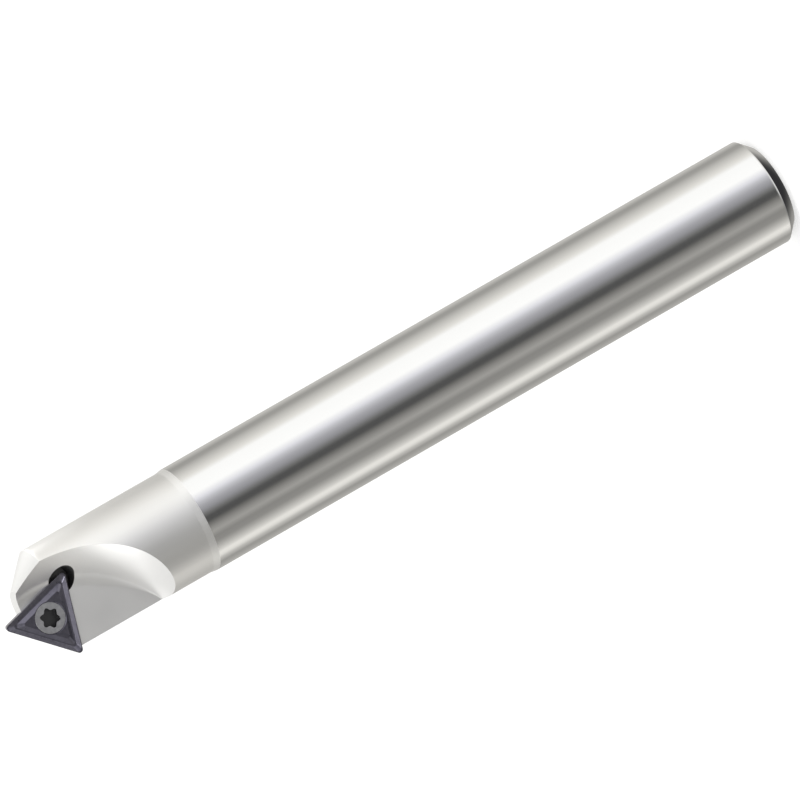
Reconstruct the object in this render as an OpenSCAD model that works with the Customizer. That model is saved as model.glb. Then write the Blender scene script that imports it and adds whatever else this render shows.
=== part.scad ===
// Chamfer milling cutter: a round steel holder that carries one indexable triangular insert.
// The origin is the centre of the shank's end face. +Z runs along the axis to the cutting end,
// +X points at the insert's outer corner and +Y out of the insert's rake face, which lies in y = 0.

/* [Shank] */
// Diameter of the ground shank
shank_d = 12.7; // [12:0.1:14]
// Length of the ground shank, from its end face to the joint taper
shank_l = 77.4; // [60:0.1:90]
// Chamfer round the shank's end face
end_chamfer = 1.3; // [0.6:0.1:2]
// Width of the centre hole in the shank's end face
centre_d = 2.5; // [2:0.1:3.2]
// Width of the drilled pilot behind that centre hole
centre_pilot_d = 1; // [0.8:0.1:1.2]
// Depth of that pilot
centre_pilot_l = 4; // [3.2:0.1:5]

/* [Head] */
// Length of the taper between the shank and the head
joint_l = 0.85; // [0.6:0.05:1.3]
// How far the head's surface lies below the shank's
head_step = 0.13; // [0.07:0.01:0.25]
// Length from that taper to the insert's front corner
head_l = 23.35; // [22.6:0.05:28]
// Angle between the cutting edge and the axis
lead_angle = 45; // [40:1:50]
// How far the body's nose cone stays behind the cutting edge
nose_clearance = 0.27; // [0.2:0.01:0.4]
// Diameter of the flat on the nose
nose_flat_d = 5.7; // [4.4:0.1:6.4]

/* [Insert] */
// Diameter of the circle inscribed in the insert's sharp outline
insert_ic = 5.56; // [5.2:0.01:6]
// Thickness of the insert
insert_t = 2.38; // [2.1:0.01:2.7]
// Radius of the insert's corners
corner_r = 0.4; // [0.3:0.05:0.5]
// Clearance angle of the insert's flanks
flank_angle = 7; // [5:0.5:8]
// How far the sharp outer corner would stand out of the head's surface
corner_out = 0.96; // [0.8:0.02:1.4]
// Diameter of the insert's screw hole
insert_hole_d = 2.5; // [2.4:0.05:2.7]
// Width of that hole's countersink at the rake face
insert_sink_d = 3.7; // [3.5:0.05:3.9]

/* [Chip-breaker] */
// Width of the flat land along the edges
land_w = 0.12; // [0.08:0.01:0.2]
// Where the groove behind the land reaches its full depth, from the edge
groove_in = 0.5; // [0.4:0.02:0.58]
// Where the groove starts to rise again, from the edge
groove_out = 0.66; // [0.6:0.02:0.8]
// Where the raised middle starts, from the edge
plateau_in = 1.14; // [1:0.02:1.2]
// Depth of the groove below the edge
groove_depth = 0.22; // [0.14:0.02:0.26]
// Corner radius of the raised middle
plateau_r = 0.65; // [0.4:0.05:0.9]

/* [Clamping screw] */
// Thread diameter of the screw
screw_d = 2.2; // [2:0.1:2.3]
// Length of the screw, from the top of its head
screw_l = 3.8; // [3.5:0.1:3.9]
// Half the angle of its countersunk head
sink_half_angle = 30; // [28:1:32]
// How deep the top of the head lies below the rake face
head_sink = 0.12; // [0.06:0.02:0.24]
// Width of the six-lobed socket across its lobes
socket_d = 2.35; // [2.1:0.05:2.5]
// Width of that socket between its lobes
socket_root_d = 1.75; // [1.6:0.05:1.95]
// Depth of that socket
socket_l = 0.75; // [0.6:0.05:0.8]
// Chamfer at the tip of the screw
screw_tip = 0.4; // [0.25:0.05:0.5]

/* [Seat and gullet] */
// Radius of the round relief behind the insert's inner corner
relief_r = 1.5; // [1.3:0.05:1.7]
// Distance of that relief's centre from the insert's sharp inner corner
relief_in = 1.15; // [0.9:0.05:1.3]
// How much deeper than the seat the relief goes
relief_extra = 0.2; // [0.1:0.05:0.4]
// How far the gullet's floor lies below the rake face
floor_drop = 0.38; // [0.26:0.02:0.6]
// Radius of the gullet's hollow wall
gullet_r = 15.8; // [14:0.1:17.6]
// How far that wall leans away from the floor's normal
gullet_lean = 36; // [32:1:40]
// How far the foot of that wall, before its fillet, reaches past the axis
gullet_reach = 1.65; // [1.4:0.05:1.9]
// How far that wall's centre lies ahead of the insert's centre
gullet_ahead = 0.3; // [0:0.1:0.8]
// Radius of the fillet along the middle and the front of that wall's foot
gullet_fillet = 2; // [1.4:0.1:2.4]

/* [Fits] */
// Clearance between the screw's head and the countersink
sink_gap = 0.02; // [0.01:0.01:0.04]
// Clearance between the screw's thread and its hole
thread_gap = 0.02; // [0.01:0.01:0.04]

/* [Hidden] */
$fn = 96;
// Overshoot that carries a cut past the surface it opens
past = 1;
// Points along each rounded corner of the insert
corner_steps = 8;
// Half the angle of the centre hole
centre_half_angle = 30;
// Points round the six-lobed socket
socket_steps = 72;
// Turns of the gullet's wall, from ahead of the nose to beside the head, and the turns between
// which its fillet runs out to the least share of its radius
gullet_from = -30;
gullet_to = 76;
gullet_turn = 2;
fillet_start = 28;
fillet_end = 50;
fillet_least = 0.1;
// Steps across that fillet
fillet_steps = 6;

shank_r = shank_d / 2;
head_r = shank_r - head_step;
head_z = shank_l + joint_l;
overall_l = head_z + head_l;

// The insert's inscribed circle, and its sharp corners, which lie twice that far from its centre
insert_ri = insert_ic / 2;
insert_rc = 2 * insert_ri;
front_angle = lead_angle + 60;
outer_angle = lead_angle - 60;
inner_angle = lead_angle + 180;
// The centre is placed by the outer corner's reach and by the front of the rounded front corner
insert_x = head_r + corner_out - insert_rc * cos(outer_angle);
insert_z = overall_l - corner_r - (insert_rc - 2 * corner_r) * sin(front_angle);
// The cutting edge's line, measured square to it from the origin
edge_reach = insert_x * cos(lead_angle) + insert_z * sin(lead_angle) + insert_ri;

// The nose cone keeps its clearance behind that line
nose_reach = edge_reach - nose_clearance;
function nose_z(r) = (nose_reach - r * cos(lead_angle)) / sin(lead_angle);

sink_depth = (insert_sink_d - insert_hole_d) / 2 / tan(sink_half_angle);
screw_gap = sink_gap / cos(sink_half_angle);
function screw_head_r(depth) = insert_sink_d / 2 - depth * tan(sink_half_angle) - screw_gap;
screw_neck = (insert_sink_d / 2 - screw_gap - screw_d / 2) / tan(sink_half_angle);

// Puts a shape drawn in the insert's own frame in place: X stays, Y runs along the axis to the
// front, and Z is the depth below the rake face
module at_insert() translate([insert_x, 0, insert_z]) rotate([90, 0, 0]) children();

// One rounded triangle of the insert at one depth, its sides moved in by inset
function corner_arc(inset, r, depth, turn) = [
    for (i = [0:corner_steps])
        let (a = turn - 60 + 120 * i / corner_steps, d = 2 * (insert_ri - inset - r))
        [d * cos(turn) + r * cos(a), d * sin(turn) + r * sin(a), depth]
];
function triangle_ring(inset, r, depth) = [
    for (k = [0:2]) each corner_arc(inset, r, depth, front_angle + 120 * k)
];

// A closed skin over rings of equally many points, from the first ring's face to the last's, with
// its side faces split in two where they aren't flat
module ring_skin(rings, split = false) {
    n = len(rings[0]);
    last = (len(rings) - 1) * n;
    points = [for (ring = rings) each ring];
    sides = [
        for (k = [0:len(rings) - 2]) for (i = [0:n - 1])
            let (a = k * n + i, b = k * n + (i + 1) % n)
            each split ? [[a, a + n, b], [b, a + n, b + n]] : [[a, a + n, b + n, b]]
    ];
    first_face = [for (i = [0:n - 1]) i];
    last_face = [for (i = [n - 1:-1:0]) last + i];
    polyhedron(points, concat([first_face], sides, [last_face]), convexity = 6);
}

// All that lies inside one side of the insert, whose wall leans in as it goes down
module inside_wall(normal_angle, lean, size)
    rotate([0, 0, normal_angle])
        translate([insert_ri, 0, 0])
            rotate([0, -lean, 0])
                translate([-size, -size / 2, -size / 2])
                    cube(size);

// What lies inside both rear sides of the insert, over one span of depths
module between_rear_walls(lean, depth_from, depth_to) {
    size = 6 * insert_ic;
    intersection() {
        inside_wall(lead_angle + 120, lean, size);
        inside_wall(lead_angle - 120, lean, size);
        translate([-size / 2, -size / 2, depth_from])
            cube([size, size, depth_to - depth_from]);
    }
}

// Shank, joint taper, head and nose, turned as one
module turned_blank()
    rotate_extrude()
        polygon([
            [0, 0],
            [shank_r - end_chamfer, 0],
            [shank_r, end_chamfer],
            [shank_r, shank_l],
            [head_r, head_z],
            [head_r, nose_z(head_r)],
            [nose_flat_d / 2, nose_z(nose_flat_d / 2)],
            [0, nose_z(nose_flat_d / 2)]
        ]);

// Centre hole that the shank was ground on
module centre_hole() {
    cone_l = centre_d / 2 / tan(centre_half_angle);
    rotate_extrude()
        polygon([
            [0, -past],
            [centre_d / 2 + past * tan(centre_half_angle), -past],
            [centre_pilot_d / 2, cone_l - centre_pilot_d / 2 / tan(centre_half_angle)],
            [centre_pilot_d / 2, centre_pilot_l],
            [0, centre_pilot_l]
        ]);
}

// Chip gullet: a flat floor beside the insert and a hollow wall round its back, with a fillet
// between them that runs out towards the rear. The wall is part of a cylinder that leans by
// gullet_lean, so each level of it is the same ellipse, moved on. Turn 0 is the wall's middle, and
// turns above 0 lie towards the shank.
function foot_point(turn) = [-gullet_r / cos(gullet_lean) * cos(turn), -gullet_r * sin(turn)];
function foot_normal(turn) =
    let (n = [-cos(turn) * cos(gullet_lean), -sin(turn)])
    n / norm(n);
function fillet_share(turn) =
    max(fillet_least, min(1, (fillet_end - turn) / (fillet_end - fillet_start)));

// One point of the wall's section at a turn: over the fillet, from the floor up, and then its top
function wall_point(turn, step) =
    let (
        foot = foot_point(turn),
        normal = foot_normal(turn),
        slope = atan(-normal[0] * tan(gullet_lean)),
        r = gullet_fillet * fillet_share(turn),
        a = -90 + (90 - slope) * step / fillet_steps,
        top = step > fillet_steps,
        h = top ? shank_r + floor_drop + past : r + r * sin(a),
        out = top ? 0 : r * cos(a) - r * tan(45 - slope / 2) - h * tan(slope)
    )
    [foot[0] - h * tan(gullet_lean) + out * normal[0], h, foot[1] + out * normal[1]];

// One level of the gullet: the wall's points, and three points outside the head that close it
function gullet_ring(step) =
    let (
        wall = [for (turn = [gullet_to:-gullet_turn:gullet_from]) wall_point(turn, step)],
        rear = wall[0],
        front = wall[len(wall) - 1]
    )
    concat(wall, [
        [front[0], front[1], front[2] + gullet_r],
        [rear[0] + gullet_r, front[1], front[2] + gullet_r],
        [rear[0] + gullet_r, rear[1], rear[2]]
    ]);

module gullet()
    translate([gullet_r / cos(gullet_lean) - gullet_reach, -floor_drop, insert_z + gullet_ahead])
        ring_skin([for (step = [0:fillet_steps + 1]) gullet_ring(step)], split = true);

// Seat of the insert: its floor, the two walls that its rear flanks lean on, and upright walls
// above the rake face
module seat() {
    between_rear_walls(flank_angle, 0, insert_t);
    between_rear_walls(0, -shank_d, 0);
}

// Round relief that frees the insert's inner corner
module corner_relief()
    rotate([0, 0, inner_angle])
        translate([insert_rc - relief_in, 0, -shank_r])
            cylinder(r = relief_r, h = shank_r + insert_t + relief_extra);

// Through hole for the screw's thread
module tapped_hole()
    cylinder(d = screw_d + 2 * thread_gap, h = shank_d);

module holder()
    color("silver")
        difference() {
            turned_blank();
            centre_hole();
            gullet();
            at_insert() {
                seat();
                corner_relief();
                tapped_hole();
            }
        }

// Rake face with its land, groove and raised middle, and flanks that lean in to the seat's floor
module insert_body() {
    foot_inset = insert_t * tan(flank_angle);
    foot_r = max(corner_r - foot_inset, corner_r / 4);
    ring_skin([
        triangle_ring(plateau_in, plateau_r, 0),
        triangle_ring(groove_out, (plateau_r + corner_r) / 2, groove_depth),
        triangle_ring(groove_in, corner_r, groove_depth),
        triangle_ring(land_w, corner_r, 0),
        triangle_ring(0, corner_r, 0),
        triangle_ring(foot_inset, foot_r, insert_t)
    ]);
}

module insert()
    color("dimgray")
        at_insert()
            difference() {
                insert_body();
                rotate_extrude()
                    polygon([
                        [0, -past],
                        [insert_sink_d / 2 + past * tan(sink_half_angle), -past],
                        [insert_hole_d / 2, sink_depth],
                        [insert_hole_d / 2, insert_t + past],
                        [0, insert_t + past]
                    ]);
            }

// Six-lobed outline between the root and the lobe radius
module socket_outline() {
    middle = (socket_d + socket_root_d) / 4;
    wave = (socket_d - socket_root_d) / 4;
    polygon([
        for (i = [0:socket_steps - 1])
            let (a = 360 * i / socket_steps, r = middle + wave * cos(6 * a))
            [r * cos(a), r * sin(a)]
    ]);
}

module clamp_screw()
    color("gray")
        at_insert()
            difference() {
                rotate_extrude()
                    polygon([
                        [0, head_sink],
                        [screw_head_r(head_sink), head_sink],
                        [screw_d / 2, screw_neck],
                        [screw_d / 2, head_sink + screw_l - screw_tip],
                        [screw_d / 2 - screw_tip, head_sink + screw_l],
                        [0, head_sink + screw_l]
                    ]);
                translate([0, 0, head_sink - past])
                    linear_extrude(socket_l + past)
                        socket_outline();
            }

holder();
insert();
clamp_screw();
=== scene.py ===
# %% [markdown]
# A chamfer milling cutter
#
# The tool is a ground steel bar with a satin head. A chip gullet is milled into the head, and one
# triangular carbide insert sits in it, held by a countersunk screw. The drawing of the tool comes
# in as a fixed frame, and this lesson remodels each piece with smooth surfaces over that frame and
# gives each its finish. Everything is in metres, the axis of the tool is Z, and its shank end is
# the origin.

# %% Load the frame
import math

import bmesh
import bpy
from mathutils import Matrix, Vector


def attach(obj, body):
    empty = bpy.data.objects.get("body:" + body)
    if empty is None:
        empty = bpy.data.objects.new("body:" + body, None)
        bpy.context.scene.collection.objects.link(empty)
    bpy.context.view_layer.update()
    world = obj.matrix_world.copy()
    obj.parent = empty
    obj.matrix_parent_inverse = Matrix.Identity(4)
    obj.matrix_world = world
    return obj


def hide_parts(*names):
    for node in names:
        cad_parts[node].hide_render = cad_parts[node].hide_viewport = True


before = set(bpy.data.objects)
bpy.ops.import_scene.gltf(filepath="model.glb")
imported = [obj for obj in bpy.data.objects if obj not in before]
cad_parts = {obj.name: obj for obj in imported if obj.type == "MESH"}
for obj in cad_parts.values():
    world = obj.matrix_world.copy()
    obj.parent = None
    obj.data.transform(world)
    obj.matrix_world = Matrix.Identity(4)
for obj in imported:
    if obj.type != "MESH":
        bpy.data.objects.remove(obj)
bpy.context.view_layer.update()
MM = 0.001

# %% [markdown]
# The camera comes first, because every later choice is judged through it. It stands far away with
# a long lens, as a catalogue photographer's does, so the bar hardly narrows with distance. It is
# rolled, so that the upright tool runs across the picture with its nose at the lower left. It
# could be aimed by hand, but here its place, roll and lens are fitted to the bar's outlines.

# %% Camera
PICTURE_RIGHT = Vector((0.462953, 0.304845, -0.832313))
PICTURE_DOWN = Vector((0.877973, -0.028666, 0.477851))
CAMERA_AT = Vector((-194.196, 1518.709, 497.732)) * MM
LENS, SENSOR_W = 648.44, 36
LOOKING = PICTURE_RIGHT.cross(PICTURE_DOWN).normalized()

camera_data = bpy.data.cameras.new("camera")
camera_data.sensor_width = SENSOR_W
camera_data.lens = LENS
camera_data.clip_start = 0.1
camera_data.clip_end = 20
camera = bpy.data.objects.new("camera", camera_data)
bpy.context.collection.objects.link(camera)
turn = Matrix((PICTURE_RIGHT, -PICTURE_DOWN, -LOOKING)).transposed()
camera.matrix_world = Matrix.Translation(CAMERA_AT) @ turn.to_4x4()
bpy.context.scene.camera = camera
print("camera looks along", [round(c, 3) for c in LOOKING])

# %% [markdown]
# The sizes below are those of the drawing: a 12.7 mm shank, a head 0.13 mm below it all round, a
# 45 degree nose, and an insert whose inscribed circle is 5.56 mm. Places that depend on others, such
# as the insert's centre, are worked out from them, so that pieces fit when one changes.

# %% Sizes of the tool, in millimetres
SHANK_R, SHANK_L, END_CHAMFER = 6.35, 77.4, 1.3
HEAD_R, HEAD_Z, OVERALL_L = 6.22, 78.25, 101.6
LEAD = math.radians(45)
# The nose cone stands a little behind the insert's cutting edge, so that only the insert cuts
NOSE_FLAT_R, NOSE_CLEARANCE = 2.85, 0.27
# The insert's inscribed radius, its thickness, the radius of its corners and the lean of its flanks
INSERT_RI, INSERT_T, CORNER_R, FLANK = 2.78, 2.38, 0.4, math.radians(7)
# How far its outer corner, taken as sharp, stands out past the head
CORNER_OUT = 0.96
# Radius of the circle through its sharp corners, and the three directions in which they point
INSERT_RC = 2 * INSERT_RI
FRONT, OUTER, INNER = LEAD + math.pi / 3, LEAD - math.pi / 3, LEAD + math.pi
INSERT_X = HEAD_R + CORNER_OUT - INSERT_RC * math.cos(OUTER)
INSERT_Z = OVERALL_L - CORNER_R - (INSERT_RC - 2 * CORNER_R) * math.sin(FRONT)
NOSE_REACH = INSERT_X * math.cos(LEAD) + INSERT_Z * math.sin(LEAD) + INSERT_RI - NOSE_CLEARANCE


def nose_z(r):
    """Height of the nose cone at one radius, in millimetres."""
    return (NOSE_REACH - r * math.cos(LEAD)) / math.sin(LEAD)


print("insert centre in mm:", round(INSERT_X, 3), round(INSERT_Z, 3))
print("nose cone from", round(nose_z(HEAD_R), 2), "mm")

# %% [markdown]
# A few small helpers keep the modelling steps short. Operators act on whatever is selected, so
# each step starts from a clean selection. A finished piece has its place baked into its mesh and
# its object at the origin.

# %% Helpers for objects
def select_only(obj):
    """Leaves edit mode, and makes one object the only selected and the active one."""
    if bpy.context.object and bpy.context.object.mode != "OBJECT":
        bpy.ops.object.mode_set(mode="OBJECT")
    bpy.ops.object.select_all(action="DESELECT")
    obj.select_set(True)
    bpy.context.view_layer.objects.active = obj


def name_new(name):
    """Names the object that an operator has just added."""
    obj = bpy.context.object
    obj.name = obj.data.name = name
    return obj


def settle(obj):
    """Bakes the place into the mesh, so that the object sits at the origin."""
    select_only(obj)
    bpy.ops.object.transform_apply(location=True, rotation=True, scale=True)
    return obj


def use_modifier(obj, kind, **settings):
    """Gives a piece one modifier with its settings, and applies it."""
    select_only(obj)
    modifier = obj.modifiers.new(kind.lower(), kind)
    for key, value in settings.items():
        setattr(modifier, key, value)
    bpy.ops.object.modifier_apply(modifier=modifier.name)


def cut_away(obj, tool):
    """Subtracts a cutting shape from a piece and clears the shape away."""
    use_modifier(obj, "BOOLEAN", object=tool, operation="DIFFERENCE", solver="EXACT")
    bpy.data.objects.remove(tool, do_unlink=True)


def edit(obj, choose="VERT"):
    """Opens a piece in edit mode, ready to choose vertices, edges or faces."""
    select_only(obj)
    bpy.ops.object.mode_set(mode="EDIT")
    bpy.ops.mesh.select_mode(type=choose)


def leave_edit():
    """Goes back to object mode."""
    bpy.ops.object.mode_set(mode="OBJECT")


def pick(obj, test):
    """Selects the vertices, edges or faces of the mesh in edit mode that pass a test."""
    mesh = bmesh.from_edit_mesh(obj.data)
    mode = bpy.context.tool_settings.mesh_select_mode
    items = mesh.verts if mode[0] else mesh.edges if mode[1] else mesh.faces
    for item in [*mesh.verts, *mesh.edges, *mesh.faces]:
        item.select = False
    for item in items:
        if test(item):
            item.select_set(True)
    mesh.select_flush_mode()
    bmesh.update_edit_mesh(obj.data)


def middle(edge):
    """The point halfway along an edge."""
    return (edge.verts[0].co + edge.verts[1].co) / 2


def round_edges(obj, width, limit, segments=3):
    """Breaks every edge sharper than a limit, as a deburring pass does."""
    use_modifier(obj, "BEVEL", width=width * MM, segments=segments, limit_method="ANGLE",
                 angle_limit=math.radians(limit), use_clamp_overlap=True)


def smooth(obj, limit):
    """Shades the piece smooth below an angle, with large faces kept flat."""
    select_only(obj)
    bpy.ops.object.shade_smooth_by_angle(angle=math.radians(limit))
    use_modifier(obj, "WEIGHTED_NORMAL", mode="FACE_AREA", weight=100, keep_sharp=True)


def tidy_faces(obj):
    """Merges doubles and turns every face outwards."""
    edit(obj)
    bpy.ops.mesh.select_all(action="SELECT")
    bpy.ops.mesh.remove_doubles(threshold=1e-7)
    bpy.ops.mesh.normals_make_consistent(inside=False)
    leave_edit()


# %% [markdown]
# A turned part is drawn as a lathe makes it: a disc is extruded along the axis station by station,
# and each new ring is resized to that station's radius. A close ring beside each step keeps the
# shading of the long faces straight, because smooth shading blends over a whole face. A profile
# could be spun instead, but its ends would meet in a seam that has to be closed.

# %% Turning helper
def turned(name, stations, sides):
    """A round solid along Z, through (radius, height) stations in millimetres."""
    radius, height = stations[0]
    bpy.ops.mesh.primitive_circle_add(vertices=sides, radius=radius * MM, fill_type="NGON",
                                      location=(0, 0, 0))
    obj = name_new(name)
    edit(obj, "FACE")
    bpy.ops.mesh.select_all(action="SELECT")
    bpy.ops.transform.translate(value=(0, 0, height * MM))
    for next_radius, next_height in stations[1:]:
        bpy.ops.mesh.extrude_region_move(
            TRANSFORM_OT_translate={"value": (0, 0, (next_height - height) * MM)})
        scale = next_radius / radius
        bpy.ops.transform.resize(value=(scale, scale, 1), center_override=(0, 0, next_height * MM))
        radius, height = next_radius, next_height
    leave_edit()
    tidy_faces(obj)
    return obj


# %% [markdown]
# The holder starts as one turned bar: end face, chamfer, ground shank, a short taper down to the
# head, the head, the 45 degree nose cone and its flat. The corners of the real bar are broken by a
# few hundredths, and a bevel does the same here before anything is cut. The bevel could come last,
# but then it would also round the cut edges, which are crisp in the photograph.

# %% Turned bar of the holder
# How far the shading rings lie from the steps, and how wide the broken corners are
RING, NOSE_RING, BROKEN_W = 0.3, 0.4, 0.05
holder_piece = turned("holder_steel", [
    (SHANK_R - END_CHAMFER, 0), (SHANK_R, END_CHAMFER), (SHANK_R, END_CHAMFER + RING),
    (SHANK_R, SHANK_L - RING), (SHANK_R, SHANK_L), (HEAD_R, HEAD_Z), (HEAD_R, HEAD_Z + RING),
    (HEAD_R, nose_z(HEAD_R) - NOSE_RING), (HEAD_R, nose_z(HEAD_R)),
    (NOSE_FLAT_R, nose_z(NOSE_FLAT_R)),
], sides=320)
round_edges(holder_piece, BROKEN_W, 6)
print("turned bar:", len(holder_piece.data.polygons), "faces")

# %% [markdown]
# The chip gullet is milled by a large round cutter that leans away from the rake face, so its wall
# is hollow and its floor is flat. The cutting shape is a leaned cylinder, bisected at the floor.
# The edge between wall and floor gets a round bevel, which leaves a fillet of 2 mm in the steel,
# and the fillet runs out towards the rear, where the photograph shows a crisp corner. The gullet
# could be sculpted face by face, but a cutting shape that follows the real cutter keeps its wall
# true.

# %% Gullet cutting shape
# The cutter's radius and lean, how far it reaches past the tool's axis, and how far its centre lies
# ahead of the insert's
GULLET_R, GULLET_LEAN, GULLET_REACH, GULLET_AHEAD = 15.8, math.radians(36), 1.65, 0.3
FLOOR_Y, GULLET_TOOL_L = -0.38, 60
GULLET_X = GULLET_R / math.cos(GULLET_LEAN) - GULLET_REACH
GULLET_Z = INSERT_Z + GULLET_AHEAD

bpy.ops.mesh.primitive_cylinder_add(vertices=360, radius=GULLET_R * MM,
                                    depth=GULLET_TOOL_L * MM, location=(0, 0, 0))
gullet_tool = name_new("gullet_tool")
lean = Matrix.Rotation(GULLET_LEAN, 4, "Z") @ Matrix.Rotation(math.radians(-90), 4, "X")
gullet_tool.matrix_world = Matrix.Translation(Vector((GULLET_X, FLOOR_Y, GULLET_Z)) * MM) @ lean
settle(gullet_tool)
edit(gullet_tool, "FACE")
bpy.ops.mesh.select_all(action="SELECT")
bpy.ops.mesh.bisect(plane_co=(0, FLOOR_Y * MM, 0), plane_no=(0, 1, 0), use_fill=True,
                    clear_inner=True)
leave_edit()
tidy_faces(gullet_tool)
print("gullet cutter at", round(GULLET_X, 2), round(GULLET_Z, 2), "mm")

# %% Fillet at the foot of the gullet's wall
# The fillet's radius, and how far its foot lies from the sharp corner between wall and floor
FILLET_R = 2.0
FILLET_FOOT = FILLET_R * math.tan(math.radians(45) - GULLET_LEAN / 2)
# Angles round the cutter, in degrees: where the wall's foot ends, where its fillet has faded out,
# and over how much it fades
FOOT_END, FADED_AT, FADE_OVER, LEAST_SHARE = 110, 50, 22, 0.1


def fillet_share(edge):
    """1 along the front and the middle of the wall's foot, fading to a tenth at its rear."""
    x, y, z = middle(edge) / MM
    turn = math.degrees(math.atan2((GULLET_Z - z) / GULLET_R,
                                   (GULLET_X - x) * math.cos(GULLET_LEAN) / GULLET_R))
    if abs(y - FLOOR_Y) > 1e-3 or abs(turn) > FOOT_END:
        return 0.0
    return max(LEAST_SHARE, min(1.0, (FADED_AT - turn) / FADE_OVER))


mesh = bmesh.new()
mesh.from_mesh(gullet_tool.data)
weight = mesh.edges.layers.float.new("bevel_weight_edge")
for rim_edge in mesh.edges:
    rim_edge[weight] = fillet_share(rim_edge)
mesh.to_mesh(gullet_tool.data)
mesh.free()
use_modifier(gullet_tool, "BEVEL", width=FILLET_FOOT * MM, segments=12, limit_method="WEIGHT",
             use_clamp_overlap=False)
tidy_faces(gullet_tool)
cut_away(holder_piece, gullet_tool)
print("bar with gullet:", len(holder_piece.data.polygons), "faces")

# %% [markdown]
# The seat takes the insert. Its two rear walls lean in with the insert's flanks, a round relief
# frees the insert's inner corner, and a hole for the screw goes through. The seat's cutting shape
# is a triangle that shares the insert's inner corner but is twice as wide, so that only its two
# rear walls meet the steel. A copy of the insert could be cut away too, but its leaning flanks
# would leave slivers along the nose.

# %% Seat, relief and screw hole
def at_insert(x, y, depth=0.0):
    """A point of the insert's own plane, in the frame of the tool, in metres."""
    return Vector((INSERT_X + x, -depth, INSERT_Z + y)) * MM


def along(angle, length):
    """A step of one length in one direction of the insert's plane."""
    return math.cos(angle) * length, math.sin(angle) * length


# The gap between the insert's flanks and the seat's walls, and how high the cutting shapes stand
# above the rake face
SEAT_GAP, TOOL_H = 0.01, 8
SEAT_RC = 2 * INSERT_RC
seat_centre = along(LEAD, SEAT_RC - INSERT_RC - 2 * SEAT_GAP)
bpy.ops.mesh.primitive_cylinder_add(vertices=3, radius=SEAT_RC * MM, depth=TOOL_H * MM,
                                    location=(0, 0, 0))
seat_tool = name_new("seat_tool")
# A triangle of the primitive has its first corner on +Y, and its axis is turned to the rake normal
seat_tool.matrix_world = (Matrix.Translation(at_insert(*seat_centre, depth=-TOOL_H / 2))
                          @ Matrix.Rotation(math.radians(90), 4, "X")
                          @ Matrix.Rotation(INNER - math.pi / 2, 4, "Z"))
settle(seat_tool)
edit(seat_tool, "FACE")
pick(seat_tool, lambda f: all(abs(v.co.y) < 1e-6 for v in f.verts))
bpy.ops.mesh.extrude_region_move(TRANSFORM_OT_translate={"value": (0, -INSERT_T * MM, 0)})
foot = 1 - INSERT_T * math.tan(FLANK) / (2 * INSERT_RI)
bpy.ops.transform.resize(value=(foot, 1, foot), center_override=at_insert(*seat_centre, INSERT_T))
leave_edit()
tidy_faces(seat_tool)
cut_away(holder_piece, seat_tool)
print("bar with seat:", len(holder_piece.data.polygons), "faces")

# %% Round relief behind the insert's inner corner
# The relief's radius, how far it lies in from the insert's sharp corner, and how much deeper than
# the seat it goes
RELIEF_R, RELIEF_IN, RELIEF_EXTRA = 1.5, 1.15, 0.2
# The tapped hole's radius, and the depths below the rake face between which it is cut
THREAD_HOLE_R, THREAD_HOLE_FROM, THREAD_HOLE_TO = 1.12, 1, 12


def drill(name, centre, radius, depth_from, depth_to, sides):
    """A round cutting shape square to the rake face, between two depths below it."""
    bpy.ops.mesh.primitive_cylinder_add(
        vertices=sides, radius=radius * MM, depth=(depth_to - depth_from) * MM,
        location=at_insert(*centre, (depth_from + depth_to) / 2),
        rotation=(math.radians(90), 0, 0))
    return settle(name_new(name))


relief_centre, relief_depth = along(INNER, INSERT_RC - RELIEF_IN), INSERT_T + RELIEF_EXTRA
cut_away(holder_piece, drill("relief_tool", relief_centre, RELIEF_R, -TOOL_H, relief_depth, 96))
cut_away(holder_piece, drill("thread_tool", (0, 0), THREAD_HOLE_R, THREAD_HOLE_FROM,
                             THREAD_HOLE_TO, 64))
print("bar with relief and screw hole:", len(holder_piece.data.polygons), "faces")

# %% [markdown]
# The shank was ground between centres, so its end face has a small centre hole: a 60 degree cone
# with a pilot. It could be inset into the end face, but a turned shape that is cut away leaves
# clean walls.

# %% Centre hole
# Radii of the cone's mouth and of the pilot, how deep the pilot goes, and the cone's slope
CENTRE_R, PILOT_R, PILOT_END, CENTRE_SLOPE = 1.25, 0.5, 4, math.tan(math.radians(30))
cut_away(holder_piece, turned("centre_tool", [
    (CENTRE_R + CENTRE_SLOPE, -1), (PILOT_R, (CENTRE_R - PILOT_R) / CENTRE_SLOPE),
    (PILOT_R, PILOT_END)], sides=64))
tidy_faces(holder_piece)
smooth(holder_piece, 20)
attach(holder_piece, "root")
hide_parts("holder")
print("holder:", len(holder_piece.data.polygons), "faces")

# %% [markdown]
# The insert is pressed and sintered carbide: a triangle with rounded corners and flanks that lean
# in by seven degrees. Its rake face has a narrow land along the edges, a groove that curls the
# chips, and a raised middle. It is modelled from a three-sided cylinder: the corners are beveled,
# the foot is drawn in, and the top face is extruded, drawn in and moved down or up for each step.
# That follows the press tool's own steps, and every width of the chip-breaker stays a named value.

# %% Insert blank with rounded corners
bpy.ops.mesh.primitive_cylinder_add(vertices=3, radius=INSERT_RC * MM, depth=INSERT_T * MM,
                                    location=(0, 0, 0))
insert_piece = name_new("insert_carbide")
insert_piece.matrix_world = (Matrix.Translation(at_insert(0, 0, INSERT_T / 2))
                             @ Matrix.Rotation(math.radians(90), 4, "X")
                             @ Matrix.Rotation(INNER - math.pi / 2, 4, "Z"))
settle(insert_piece)
edit(insert_piece, "EDGE")
pick(insert_piece, lambda e: abs(e.verts[0].co.y - e.verts[1].co.y) > 1e-4)
bpy.ops.mesh.bevel(offset=CORNER_R * math.sqrt(3) * MM, segments=12, affect="EDGES")
leave_edit()
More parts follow.
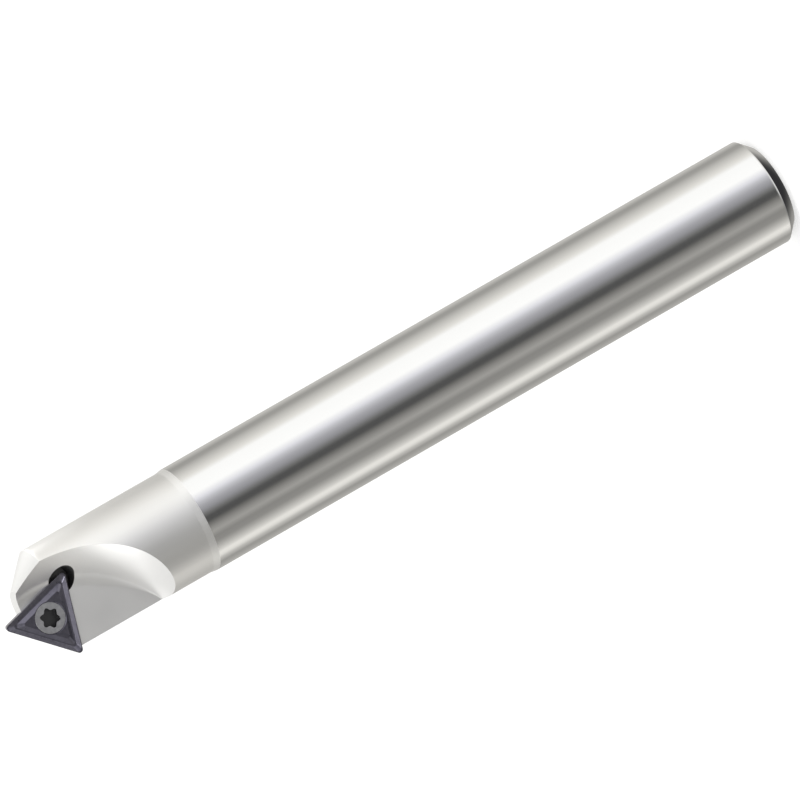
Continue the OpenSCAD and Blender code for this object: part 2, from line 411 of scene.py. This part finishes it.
# A bevel of a corner that isn't square is a little off a circle, so its points go onto the true arc
arcs = [at_insert(*along(corner, INSERT_RC - 2 * CORNER_R)) for corner in (INNER, FRONT, OUTER)]
for v in insert_piece.data.vertices:
    arc = min(arcs, key=lambda c: (v.co.x - c.x) ** 2 + (v.co.z - c.z) ** 2)
    out = Vector((v.co.x - arc.x, 0, v.co.z - arc.z)).normalized() * CORNER_R * MM
    v.co.x, v.co.z = arc.x + out.x, arc.z + out.z
print("insert with rounded corners:", len(insert_piece.data.vertices), "points")

# %% Flanks and chip-breaker
# How far in from the edges the land ends, the groove has its floor, and the raised middle starts
LAND_W, GROOVE_IN, GROOVE_OUT, PLATEAU_IN, GROOVE_DEPTH = 0.12, 0.5, 0.66, 1.14, 0.22


def top_face(f):
    """Whether a face is the rake face, which looks along +Y."""
    return f.normal.y > 0.99


def step_in(from_edge, to_edge, down):
    """Extrudes the top face, draws it in from one distance to another and moves it down, or up."""
    share = (INSERT_RI - to_edge) / (INSERT_RI - from_edge)
    bpy.ops.mesh.extrude_region_move(TRANSFORM_OT_translate={"value": (0, -down * MM, 0)})
    bpy.ops.transform.resize(value=(share, 1, share), center_override=at_insert(0, 0))


edit(insert_piece, "FACE")
pick(insert_piece, lambda f: f.normal.y < -0.99)
foot = 1 - INSERT_T * math.tan(FLANK) / INSERT_RI
bpy.ops.transform.resize(value=(foot, 1, foot), center_override=at_insert(0, 0, INSERT_T))
pick(insert_piece, top_face)
step_in(0, LAND_W, 0)
step_in(LAND_W, GROOVE_IN, GROOVE_DEPTH)
step_in(GROOVE_IN, GROOVE_OUT, 0)
step_in(GROOVE_OUT, PLATEAU_IN, -GROOVE_DEPTH)
leave_edit()
tidy_faces(insert_piece)
print("insert blank:", len(insert_piece.data.polygons), "faces")

# %% [markdown]
# The hole through the insert is countersunk at 60 degrees for the screw's head. Like the centre
# hole, it is turned as one shape and cut away. Its rim and all the insert's edges are then rounded
# by three hundredths, as the tumbling after sintering leaves them.

# %% Screw hole of the insert
# Radii of the countersink's mouth and of the hole below it, and half the countersink's angle
SINK_R, HOLE_R, SINK_HALF = 1.85, 1.25, math.radians(30)


def turned_down(name, stations, sides):
    """A round shape on the insert's centre, through (radius, depth) stations below its face."""
    obj = turned(name, stations, sides)
    facing = Matrix.Rotation(math.radians(90), 4, "X")
    obj.matrix_world = Matrix.Translation(at_insert(0, 0)) @ facing
    return settle(obj)


cut_away(insert_piece, turned_down("sink_tool", [
    (SINK_R + math.tan(SINK_HALF), -1), (HOLE_R, (SINK_R - HOLE_R) / math.tan(SINK_HALF)),
    (HOLE_R, INSERT_T + 1)], sides=96))
tidy_faces(insert_piece)
round_edges(insert_piece, 0.03, 12, segments=2)
smooth(insert_piece, 20)
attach(insert_piece, "root")
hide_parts("insert")
print("insert:", len(insert_piece.data.polygons), "faces")

# %% [markdown]
# The clamping screw is turned too: a countersunk head, a neck, the thread's outer diameter and a
# chamfered tip. Its socket has six round lobes. Their outline could be joined from twelve arcs, but
# one wave round a many-sided prism gives the same soft lobes.

# %% Clamping screw
# The head lies a little below the rake face, and its cone stands off the countersink by the gap
SCREW_R, SCREW_L, HEAD_SINK, SCREW_TIP, SINK_GAP = 1.1, 3.8, 0.12, 0.4, 0.02
NECK_RING = 0.1


def head_r(depth):
    """Radius of the screw's cone at a depth below the rake face."""
    return SINK_R - depth * math.tan(SINK_HALF) - SINK_GAP / math.cos(SINK_HALF)


neck = (SINK_R - SINK_GAP / math.cos(SINK_HALF) - SCREW_R) / math.tan(SINK_HALF)
screw_piece = turned_down("screw_steel", [
    (head_r(HEAD_SINK), HEAD_SINK), (SCREW_R, neck), (SCREW_R, neck + NECK_RING),
    (SCREW_R, HEAD_SINK + SCREW_L - SCREW_TIP), (SCREW_R - SCREW_TIP, HEAD_SINK + SCREW_L),
], sides=96)
print("screw blank:", len(screw_piece.data.polygons), "faces")

# %% Six-lobed socket
# Radii of the lobes' tips and of the roots between them, and the socket's depth
SOCKET_R, SOCKET_ROOT_R, SOCKET_L = 1.175, 0.875, 0.75
# The prism's own radius doesn't count, because each of its points is then moved onto the wave
socket_tool = turned_down("socket_tool", [(1, HEAD_SINK - 1), (1, HEAD_SINK + SOCKET_L)], sides=96)
centre = at_insert(0, 0)
for v in socket_tool.data.vertices:
    offset = v.co - centre
    a = math.atan2(offset.z, offset.x)
    r = (SOCKET_R + SOCKET_ROOT_R) / 2 + (SOCKET_R - SOCKET_ROOT_R) / 2 * math.cos(6 * a)
    v.co.x, v.co.z = centre.x + math.cos(a) * r * MM, centre.z + math.sin(a) * r * MM
cut_away(screw_piece, socket_tool)
tidy_faces(screw_piece)
round_edges(screw_piece, 0.03, 30, segments=2)
smooth(screw_piece, 30)
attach(screw_piece, "root")
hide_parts("clamp_screw")
print("screw:", len(screw_piece.data.polygons), "faces")

# %% [markdown]
# Polished steel has no colour of its own to speak of: it shows its surroundings. So its material
# is simple, with full metalness, and the work goes into its roughness. The shank is ground and
# lapped, with faint lines round it. The head is blasted to a satin, with a fine grain. They could
# be two materials on two sets of faces, but one that changes at the joint keeps the bar one piece.

# %% Material helpers
def new_material(name):
    """A new material, with its tree of nodes and its shader."""
    material = bpy.data.materials.new(name)
    material.use_nodes = True
    return material, material.node_tree, material.node_tree.nodes["Principled BSDF"]


def own_place(tree):
    """The piece's own coordinates, whole and split into axes."""
    place = tree.nodes.new("ShaderNodeTexCoord").outputs["Object"]
    axes = tree.nodes.new("ShaderNodeSeparateXYZ")
    tree.links.new(place, axes.inputs["Vector"])
    return place, axes.outputs


def feed(tree, socket, value):
    """Links a socket to another, or sets its number or colour."""
    if isinstance(value, bpy.types.NodeSocket):
        tree.links.new(value, socket)
    else:
        socket.default_value = (*value, 1) if isinstance(value, tuple) else value


def between(tree, value, low, high, at_low=0.0, at_high=1.0, smooth_step=True):
    """Turns a value between two bounds into another range, with soft or straight ends."""
    node = tree.nodes.new("ShaderNodeMapRange")
    node.interpolation_type = "SMOOTHSTEP" if smooth_step else "LINEAR"
    bounds = (("From Min", low), ("From Max", high), ("To Min", at_low), ("To Max", at_high))
    for key, number in bounds:
        node.inputs[key].default_value = number
    tree.links.new(value, node.inputs["Value"])
    return node.outputs["Result"]


def blend(tree, share, first, second):
    """Mixes two numbers by a share."""
    node = tree.nodes.new("ShaderNodeMix")
    node.data_type = "FLOAT"
    for index, value in ((0, share), (2, first), (3, second)):
        feed(tree, node.inputs[index], value)
    return node.outputs[0]


def blend_colour(tree, share, first, second):
    """Mixes two colours by a share."""
    node = tree.nodes.new("ShaderNodeMix")
    node.data_type = "RGBA"
    for index, value in ((0, share), (6, first), (7, second)):
        feed(tree, node.inputs[index], value)
    return node.outputs[2]


def noise(tree, place, scale, detail):
    """Noise on the piece's own coordinates, with a scale for each axis in cycles a metre."""
    stretch = tree.nodes.new("ShaderNodeMapping")
    stretch.inputs["Scale"].default_value = scale
    tree.links.new(place, stretch.inputs["Vector"])
    node = tree.nodes.new("ShaderNodeTexNoise")
    node.inputs["Scale"].default_value = 1.0
    node.inputs["Detail"].default_value = detail
    node.inputs["Roughness"].default_value = 0.55
    tree.links.new(stretch.outputs["Vector"], node.inputs["Vector"])
    return node.outputs["Fac"]


def math_of(tree, operation, *values):
    """One operation on numbers or sockets, taken two at a time from the left."""
    result = values[0]
    for value in values[1:]:
        node = tree.nodes.new("ShaderNodeMath")
        node.operation = operation
        feed(tree, node.inputs[0], result)
        feed(tree, node.inputs[1], value)
        result = node.outputs[0]
    return result


def vector_of(tree, operation, vector, other=None, result="Vector"):
    """One operation on a vector socket, with a fixed vector where it takes two."""
    node = tree.nodes.new("ShaderNodeVectorMath")
    node.operation = operation
    tree.links.new(vector, node.inputs[0])
    if other is not None:
        node.inputs[1].default_value = other
    return node.outputs[result]


def length_of(tree, place, origin, keep):
    """Distance from an origin, along the axes that are kept."""
    offset = vector_of(tree, "SUBTRACT", place, origin)
    return vector_of(tree, "LENGTH", vector_of(tree, "MULTIPLY", offset, keep), result="Value")


def add_bump(tree, shader, height, strength, depth):
    """Raises the surface by a height map, whose full depth is in millimetres."""
    bump = tree.nodes.new("ShaderNodeBump")
    bump.inputs["Strength"].default_value = strength
    bump.inputs["Distance"].default_value = depth * MM
    tree.links.new(height, bump.inputs["Height"])
    tree.links.new(bump.outputs["Normal"], shader.inputs["Normal"])


def give(obj, material):
    """Makes a material the only one of a piece."""
    obj.data.materials.clear()
    obj.data.materials.append(material)


# %% Steel of the holder
steel, tree, shader = new_material("ground_steel")
shader.inputs["Metallic"].default_value = 1.0
place, axes = own_place(tree)

is_head = between(tree, axes["Z"], (SHANK_L - 0.05) * MM, (SHANK_L + 0.1) * MM)
grain = noise(tree, place, (9000, 9000, 9000), 3)
lines = noise(tree, place, (60, 60, 9000), 2)
streaks = noise(tree, place, (3200, 3200, 90), 3)
cloud = noise(tree, place, (160, 160, 160), 4)

shank_rough = between(tree, lines, 0, 1, 0.06, 0.14, smooth_step=False)
head_cloud = blend(tree, 0.5, cloud, streaks)
head_rough = between(tree, head_cloud, 0.25, 0.75, 0.38, 0.48, smooth_step=False)
outside_rough = blend(tree, is_head, shank_rough, head_rough)
# The head's tint is painted lighter towards the nose: painted light, as if more light fell there
near_nose = between(tree, axes["Z"], 84 * MM, 95 * MM)
head_painted_light = blend_colour(tree, near_nose, (0.88, 0.875, 0.86), (0.95, 0.945, 0.93))
outside_tint = blend_colour(tree, is_head, (0.78, 0.78, 0.775), head_painted_light)
print("turned skin:", len(tree.nodes), "nodes")

# %% [markdown]
# The gullet lies below the turned skin of the head and nose, and it is a little rougher, as its
# milling left it. Its tint is painted light and shade: its wall is lighter towards the nose and
# darker towards the rear, and its floor and fillet have one tone between. Its faces could be given
# a material of their own, but how deep a point lies below the skin tells the same, and it fades
# softly over the broken edges.

# %% Milled faces of the holder
radius = length_of(tree, place, (0, 0, 0), (1, 1, 0))
below_head = math_of(tree, "SUBTRACT", HEAD_R * MM, radius)
below_nose = math_of(tree, "SUBTRACT", nose_z(0) * MM, axes["Z"], radius)
below_flat = math_of(tree, "SUBTRACT", nose_z(NOSE_FLAT_R) * MM, axes["Z"])
below_skin = math_of(tree, "MINIMUM", below_head, below_nose, below_flat)
deep = between(tree, below_skin, 0.03 * MM, 0.1 * MM)
is_milled = math_of(tree, "MULTIPLY", deep, is_head)
milled_rough = between(tree, cloud, 0.25, 0.75, 0.42, 0.5, smooth_step=False)
# Painted light and shade: the wall is lighter towards the nose and darker towards the rear, and the
# floor and fillet get one tone between
above_floor = between(tree, axes["Y"], (FLOOR_Y + 0.6) * MM, (FLOOR_Y + 2.8) * MM)
from_rear = between(tree, axes["Z"], 82 * MM, 90 * MM)
wall_painted_light_and_shade = blend_colour(tree, from_rear, (0.84, 0.835, 0.825), (0.98, 0.975, 0.96))
milled_painted_light_and_shade = blend_colour(tree, above_floor, (0.93, 0.925, 0.915), wall_painted_light_and_shade)
steel_rough = blend(tree, is_milled, outside_rough, milled_rough)
steel_tint = blend_colour(tree, is_milled, outside_tint, milled_painted_light_and_shade)
print("with milled faces:", len(tree.nodes), "nodes")

# %% [markdown]
# The relief behind the insert's corner is painted nearly black, as painted shade in the deep hole.
# It is a blind hole, so the painted shade ends just below its floor and leaves the back of the head
# bright. Picking its faces by hand would do as well, but would have to be done again after each new
# cut.

# %% Painted shade in the holder's relief
off_axis = length_of(tree, place, at_insert(*relief_centre), (1, 0, 1))
in_circle = between(tree, off_axis, (RELIEF_R + 0.05) * MM, (RELIEF_R + 0.01) * MM)
over_its_floor = between(tree, axes["Y"], -(relief_depth + 0.3) * MM, -(relief_depth + 0.1) * MM)
relief_painted_shade = math_of(tree, "MULTIPLY", in_circle, over_its_floor)
holder_rough = blend(tree, relief_painted_shade, steel_rough, 0.6)
# Nearly black inside the relief: painted shade in the deep hole
holder_tint = blend_colour(tree, relief_painted_shade, steel_tint, (0.2, 0.2, 0.2))
tree.links.new(holder_rough, shader.inputs["Roughness"])
tree.links.new(holder_tint, shader.inputs["Base Color"])

surface = blend(tree, is_head, lines, grain)
add_bump(tree, shader, surface, 0.08, 0.004)
give(holder_piece, steel)
print("steel:", len(tree.nodes), "nodes")

# %% [markdown]
# The insert wears a hard coating a few thousandths thick. It is dark and violet-grey with a
# metallic sheen, and a fine mottle keeps it from looking painted. Honing rubs it thin along the
# three cutting edges, so a hair's breadth there is paler. How far a point lies out towards each
# side tells where that is, and it works from any angle, unlike a picture laid on the piece.

# %% Coating of the insert
coating, tree, shader = new_material("hard_coating")
shader.inputs["Metallic"].default_value = 1.0
place, axes = own_place(tree)
mottle = noise(tree, place, (2500, 2500, 2500), 4)
patchy = between(tree, mottle, 0.3, 0.7, smooth_step=False)
coat = blend_colour(tree, patchy, (0.18, 0.174, 0.215), (0.225, 0.217, 0.265))
print("plain coating:", len(tree.nodes), "nodes")

# %% Honed edges of the insert
def reach_towards(tree, place, angle):
    """How far a point lies from the insert's centre, measured towards one of its sides."""
    side = (math.cos(angle), 0, math.sin(angle))
    offset = vector_of(tree, "SUBTRACT", place, at_insert(0, 0))
    return vector_of(tree, "DOT_PRODUCT", offset, side, result="Value")


sides = [reach_towards(tree, place, corner + math.pi) for corner in (INNER, FRONT, OUTER)]
furthest = math_of(tree, "MAXIMUM", *sides)
near_edge = between(tree, furthest, (INSERT_RI - 0.09) * MM, (INSERT_RI - 0.03) * MM)
near_top = between(tree, axes["Y"], -0.12 * MM, -0.04 * MM)
rubbed = between(tree, mottle, 0.35, 0.6, 0.5, 1.0)
honed = math_of(tree, "MULTIPLY", near_edge, near_top, rubbed)
finish = blend_colour(tree, honed, coat, (0.34, 0.335, 0.37))
tree.links.new(finish, shader.inputs["Base Color"])
coat_rough = between(tree, mottle, 0, 1, 0.24, 0.34, smooth_step=False)
tree.links.new(coat_rough, shader.inputs["Roughness"])
add_bump(tree, shader, mottle, 0.1, 0.004)
give(insert_piece, coating)
print("coating:", len(tree.nodes), "nodes")

# %% [markdown]
# The screw's head face is plain steel with a faint random tone. The socket, the cone and the
# thread below that face are painted nearly black, as painted shade in the deep socket. The depth
# below the rake face tells the two apart, with no need for a second material.

# %% Steel of the screw
screw_steel, tree, shader = new_material("screw_steel")
shader.inputs["Metallic"].default_value = 1.0
place, axes = own_place(tree)
wear = noise(tree, place, (3000, 3000, 3000), 3)
worn = between(tree, wear, 0.3, 0.7, smooth_step=False)
bright = blend_colour(tree, worn, (0.52, 0.52, 0.54), (0.62, 0.62, 0.64))
is_face = between(tree, axes["Y"], -(HEAD_SINK + 0.1) * MM, -(HEAD_SINK + 0.02) * MM)
# Below the face the screw is painted nearly black: painted shade in the socket
screw_tint_and_socket_shade = blend_colour(tree, is_face, (0.09, 0.09, 0.093), bright)
tree.links.new(screw_tint_and_socket_shade, shader.inputs["Base Color"])
screw_rough = between(tree, wear, 0, 1, 0.3, 0.42, smooth_step=False)
tree.links.new(screw_rough, shader.inputs["Roughness"])
add_bump(tree, shader, wear, 0.08, 0.004)
give(screw_piece, screw_steel)
print("screw steel:", len(tree.nodes), "nodes")

# %% [markdown]
# A mirror-bright bar is lit by what stands round it. A photographer puts white and grey panels
# round such a bar, and they show as long bands in it. Here the world holds those panels in four
# rings. The middle one stands at the height that the bar shows. The upper one is mostly white, with
# the dark of the room above the camera, and a greyer ceiling over it. The lower one is a table,
# pale towards the camera and dark on the insert's side. Straight down it is dark, where the tool's
# own stand hides the light. To the camera the world is plain white. Lit planes could do the same,
# but a world has no edges that show, and never comes between the tool and a camera elsewhere.

# %% Panels round the tool
# Angle from the camera in degrees, positive towards the insert's outer corner, brightness and tint
WARM, COOL, PLAIN = (1.02, 1.0, 0.95), (1.0, 1.0, 1.06), (1.0, 1.0, 0.99)
PANELS = [
    (-180, 0.55, WARM), (-154, 0.62, WARM), (-130, 0.40, WARM), (-120, 0.43, WARM),
    (-106, 0.62, WARM), (-94, 0.78, WARM), (-83, 0.96, WARM), (-72, 1.24, PLAIN),
    (-41, 1.28, PLAIN), (-28, 0.94, COOL), (-20, 0.66, COOL), (-12, 0.48, COOL), (-3, 0.36, COOL),
    (6, 0.2, PLAIN), (13, 0.1, PLAIN), (21, 0.1, PLAIN), (27, 0.19, WARM), (36, 0.33, WARM),
    (45, 0.43, WARM), (56, 0.3, WARM), (68, 0.33, WARM), (78, 0.5, WARM), (90, 0.76, WARM),
    (98, 1.0, WARM), (106, 0.92, WARM), (115, 0.62, WARM), (129, 0.38, WARM), (154, 0.48, WARM),
    (180, 0.55, WARM),
]
UPPER_PANELS = [
    (-180, 1.0, PLAIN), (-100, 1.08, PLAIN), (-60, 1.25, PLAIN), (-25, 0.42, PLAIN),
    (20, 0.34, PLAIN), (45, 0.4, PLAIN), (75, 0.42, PLAIN), (98, 0.5, PLAIN), (116, 1.25, PLAIN),
    (130, 1.28, PLAIN), (150, 0.95, PLAIN), (180, 1.0, PLAIN),
]
LOWER_PANELS = [
    (-180, 0.5, WARM), (-60, 0.8, WARM), (-20, 1.0, PLAIN), (15, 1.0, PLAIN), (40, 0.4, PLAIN),
    (62, 0.22, PLAIN), (90, 0.2, PLAIN), (110, 0.3, WARM), (180, 0.35, WARM),
]
CEILING_PANELS = [
    (-180, 0.76, PLAIN), (-60, 0.76, PLAIN), (-25, 0.28, PLAIN), (10, 0.28, PLAIN),
    (35, 0.65, PLAIN), (60, 0.9, PLAIN), (98, 1.0, PLAIN), (150, 0.78, PLAIN), (180, 0.76, PLAIN),
]
BRIGHTEST = max(level for _, level, _ in PANELS)
to_camera = math.degrees(math.atan2(-LOOKING.y, -LOOKING.x))

world = bpy.data.worlds.new("studio")
bpy.context.scene.world = world
world.use_nodes = True
tree = world.node_tree
direction = tree.nodes.new("ShaderNodeTexCoord").outputs["Generated"]
compass = tree.nodes.new("ShaderNodeMapping")
compass.inputs["Rotation"].default_value = (0, 0, math.radians(-to_camera))
tree.links.new(direction, compass.inputs["Vector"])
radial = tree.nodes.new("ShaderNodeTexGradient")
radial.gradient_type = "RADIAL"
tree.links.new(compass.outputs["Vector"], radial.inputs["Vector"])


def panel_ring(panels):
    """A ring of panels by compass angle. The gradient runs against the angle, so it is mirrored."""
    ring = tree.nodes.new("ShaderNodeValToRGB")
    stops = ring.color_ramp.elements
    stops.remove(stops[1])
    ordered = sorted((0.5 - angle / 360, level / BRIGHTEST, tint) for angle, level, tint in panels)
    for number, (position, level, tint) in enumerate(ordered):
        stop = stops[0] if number == 0 else stops.new(position)
        stop.position = position
        stop.color = (*(level * part for part in tint), 1)
    tree.links.new(radial.outputs["Fac"], ring.inputs["Fac"])
    return ring.outputs["Color"]


print("brightest panel:", BRIGHTEST, "and camera at", round(to_camera, 1), "degrees")

# %% Heights of the rings
# Each bound is the upright part of a direction: 1 straight up, 0 level and -1 straight down
height = tree.nodes.new("ShaderNodeSeparateXYZ")
tree.links.new(direction, height.inputs["Vector"])
above = between(tree, height.outputs["Z"], -0.08, 0.2)
overhead = between(tree, height.outputs["Z"], 0.42, 0.62)
below = between(tree, height.outputs["Z"], -0.36, -0.46)
straight_down = between(tree, height.outputs["Z"], -0.6, -0.95)
upper_rings = blend_colour(tree, above, panel_ring(PANELS), panel_ring(UPPER_PANELS))
upper_half = blend_colour(tree, overhead, upper_rings, panel_ring(CEILING_PANELS))
rings = blend_colour(tree, below, upper_half, panel_ring(LOWER_PANELS))
surround = blend_colour(tree, straight_down, rings, (0.03, 0.03, 0.032))
print("panels in the rings:", len(PANELS), len(UPPER_PANELS), len(LOWER_PANELS), len(CEILING_PANELS))


# %% White for the camera only
def for_camera(tree, for_others, for_camera_rays):
    """Shows one shader to the camera and another to every other ray."""
    path = tree.nodes.new("ShaderNodeLightPath")
    choice = tree.nodes.new("ShaderNodeMixShader")
    tree.links.new(path.outputs["Is Camera Ray"], choice.inputs["Fac"])
    tree.links.new(for_others, choice.inputs[1])
    tree.links.new(for_camera_rays, choice.inputs[2])
    return choice.outputs["Shader"]


background = tree.nodes["Background"]
background.inputs["Strength"].default_value = BRIGHTEST
tree.links.new(surround, background.inputs["Color"])
white = tree.nodes.new("ShaderNodeBackground")
white.inputs["Color"].default_value = (1, 1, 1, 1)
world_shader = for_camera(tree, background.outputs["Background"], white.outputs["Background"])
tree.links.new(world_shader, tree.nodes["World Output"].inputs["Surface"])
print("world:", len(tree.nodes), "nodes")

# %% [markdown]
# The floor is plain and pale. Part of its brightness comes from the light that falls on it, which
# keeps the tool's soft shadow, and the rest is a glow that only the camera sees. More light on it
# would whiten it too, but would bleach the tool. The polished bar shows the panels and not the
# floor.

# %% Floor
FLOOR_W, FLOOR_BELOW, GLOW = 12, 0.02, 0.45
bpy.ops.mesh.primitive_plane_add(size=FLOOR_W, location=(0, 0, -FLOOR_BELOW * MM))
floor = name_new("floor")
floor_paint, tree, shader = new_material("floor_paint")
shader.inputs["Base Color"].default_value = (0.8, 0.8, 0.8, 1)
shader.inputs["Roughness"].default_value = 1.0
shader.inputs["Specular IOR Level"].default_value = 0.0
glow, no_glow = (tree.nodes.new("ShaderNodeEmission") for _ in range(2))
glow.inputs["Color"].default_value = (1, 1, 1, 1)
glow.inputs["Strength"].default_value = GLOW
no_glow.inputs["Strength"].default_value = 0.0
seen_glow = for_camera(tree, no_glow.outputs["Emission"], glow.outputs["Emission"])
both = tree.nodes.new("ShaderNodeAddShader")
tree.links.new(shader.outputs["BSDF"], both.inputs[0])
tree.links.new(seen_glow, both.inputs[1])
tree.links.new(both.outputs["Shader"], tree.nodes["Material Output"].inputs["Surface"])
give(floor, floor_paint)
floor.visible_glossy = False
print("floor:", FLOOR_W, "m wide")

# %% [markdown]
# Four soft lamps light the satin surfaces. One high on the side away from the insert gives the
# head and the nose their direction of light. One over the camera lifts the gullet's floor, and a
# faint one behind, on the insert's side, makes the gullet's wall shine along its top. A tiny one
# close to the back of the head does the work of a white card held there, and lifts the head's far
# edge. The panels alone could do all this, but they would then have to differ from what the shank
# shows. The shank doesn't show the lamps, because they lie above what it mirrors.

# %% Lamps
LAMP_TARGET = Vector((0, 0, 90)) * MM


def soft_lamp(name, watts, size, angle, elevation, distance):
    """A round lamp aimed at the tool's head, placed by its compass angle from the camera."""
    data = bpy.data.lights.new(name, "AREA")
    data.energy = watts
    data.shape = "DISK"
    data.size = size
    lamp = bpy.data.objects.new(name, data)
    bpy.context.collection.objects.link(lamp)
    round_angle, up = math.radians(to_camera - angle), math.radians(elevation)
    away = Vector((math.cos(round_angle) * math.cos(up), math.sin(round_angle) * math.cos(up),
                   math.sin(up)))
    lamp.location = LAMP_TARGET + away * distance
    lamp.rotation_euler = (-away).to_track_quat("-Z", "Y").to_euler()
    lamp.visible_camera = False


soft_lamp("high_lamp", watts=1.6, size=0.5, angle=-41, elevation=45, distance=0.95)
soft_lamp("front_lamp", watts=1.25, size=0.3, angle=10, elevation=28, distance=0.9)
soft_lamp("side_lamp", watts=0.45, size=0.3, angle=128, elevation=18, distance=0.9)
soft_lamp("near_lamp", watts=0.006, size=0.02, angle=-118, elevation=5, distance=0.06)

# %% [markdown]
# The plain view transform shows colours as they are written.

# %% View transform
bpy.context.scene.view_settings.view_transform = "Standard"
